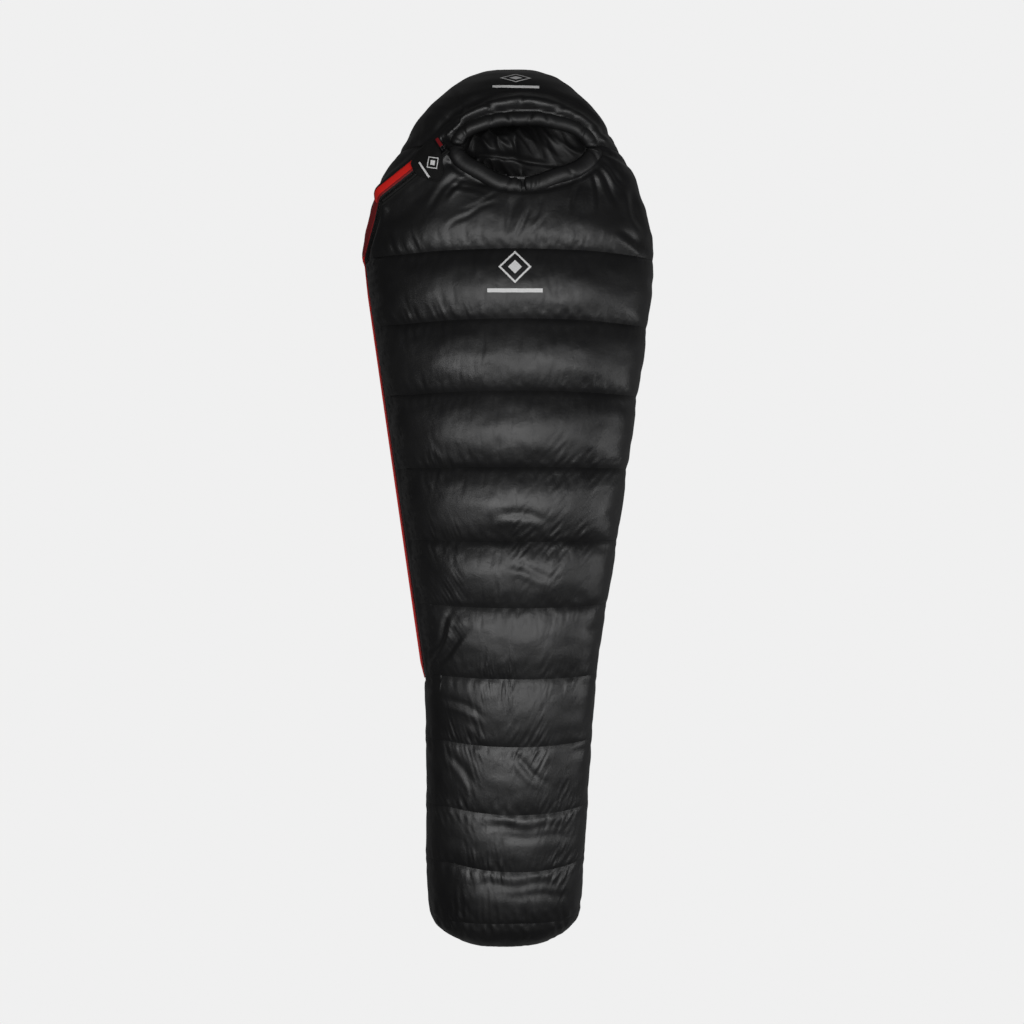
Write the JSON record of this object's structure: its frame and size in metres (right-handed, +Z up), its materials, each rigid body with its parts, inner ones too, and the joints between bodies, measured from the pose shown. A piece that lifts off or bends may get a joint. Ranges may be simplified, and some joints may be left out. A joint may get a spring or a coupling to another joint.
{
  "type": "mummy sleeping bag",
  "caption": "Down-filled mummy sleeping bag, closed and lying on its back, with a hood, padded face opening, side zip and red zip lip.",
  "frame": {"origin": "on the ground, below the middle of the bag's box", "axes": "+Y from the foot to the hood, +Z up from the ground, the zip on the -X side"},
  "size_m": [0.7154, 2.147, 0.2412],
  "materials": {
    "shell_nylon": "satin calendered nylon, black",
    "lining_nylon": "soft satin nylon taffeta, black",
    "rim_nylon": "satin nylon, padded",
    "down_fill": "loose down, off-white",
    "baffle_mesh": "fine mesh",
    "zip_tape": "woven polyester tape, black",
    "zip_coil": "nylon coil, black",
    "slider_metal": "black lacquer",
    "red_pull": "moulded red tab",
    "red_binding": "red grosgrain",
    "flap_cloth": "matte black woven cloth",
    "hook_and_loop": "hook-and-loop tape, black"
  },
  "bodies": {
    "quilt": {"back_baffle_walls": "baffle_mesh", "back_down_01": "down_fill", "back_down_02": "down_fill", "back_down_03": "down_fill", "back_down_04": "down_fill", "back_down_05": "down_fill", "back_down_06": "down_fill", "back_down_07": "down_fill", "back_down_08": "down_fill", "back_down_09": "down_fill", "back_down_10": "down_fill", "back_down_11": "down_fill", "back_lining": "lining_nylon", "back_shell": "shell_nylon", "back_zip_coil": "zip_coil", "back_zip_tape": "zip_tape", "brow_roll": "rim_nylon", "chin_roll_left": "rim_nylon", "chin_roll_right": "rim_nylon", "draft_collar": "lining_nylon", "flap_loop_pad": "hook_and_loop", "flap_welt": "flap_cloth", "foot_end_down": "down_fill", "foot_end_lining": "lining_nylon", "foot_end_shell": "shell_nylon", "front_baffle_walls": "baffle_mesh", "front_down_01": "down_fill", "front_down_02": "down_fill", "front_down_03": "down_fill", "front_down_04": "down_fill", "front_down_05": "down_fill", "front_down_06": "down_fill", "front_down_07": "down_fill", "front_down_08": "down_fill", "front_down_09": "down_fill", "front_down_10": "down_fill", "front_down_11": "down_fill", "front_lining": "lining_nylon", "front_shell": "shell_nylon", "front_zip_coil": "zip_coil", "front_zip_tape": "zip_tape", "hood_down_centre": "down_fill", "hood_down_left": "down_fill", "hood_down_right": "down_fill", "hood_lining": "lining_nylon", "hood_shell": "shell_nylon", "left_shoulder_down": "down_fill", "left_shoulder_shell": "shell_nylon", "underside_panel": "shell_nylon", "zip_bottom_stop": "zip_coil", "zip_draft_tube": "lining_nylon", "zip_lip": "red_binding", "zip_top_stop": "zip_coil"},
    "upper_slider": {"upper_slider": "slider_metal"},
    "upper_pull": {"upper_pull": "red_pull"},
    "lower_slider": {"lower_slider": "slider_metal"},
    "lower_pull": {"lower_pull": "red_pull"},
    "zip_flap": {"zip_flap": "flap_cloth", "flap_hook_pad": "hook_and_loop"}
  },
  "joints": [
    {"name": "upper_slider_slide", "type": "slide", "parent": "quilt", "child": "upper_slider", "axis": [-0.7985, -0.55, -0.2447], "range_m": [0, 0.177]},
    {"name": "upper_pull_hinge", "type": "hinge", "parent": "upper_slider", "child": "upper_pull", "pos_m": [-0.15141, 0.8395, 0.22804], "axis": [0.7985, 0.55, 0.2447], "range_deg": [0, 150]},
    {"name": "lower_slider_slide", "type": "slide", "parent": "quilt", "child": "lower_slider", "axis": [-0.1424, 0.9897, 0.0122], "range_m": [0, 1.004]},
    {"name": "lower_pull_hinge", "type": "hinge", "parent": "lower_slider", "child": "lower_pull", "pos_m": [-0.20513, -0.40376, 0.0881], "axis": [0, 0.0123, -0.9999], "range_deg": [0, 165]},
    {"name": "flap_hinge", "type": "hinge", "parent": "quilt", "child": "zip_flap", "pos_m": [-0.19504, 0.85483, 0.21544], "axis": [-0.7985, -0.55, -0.2447], "range_deg": [0, 110]}
  ]
}
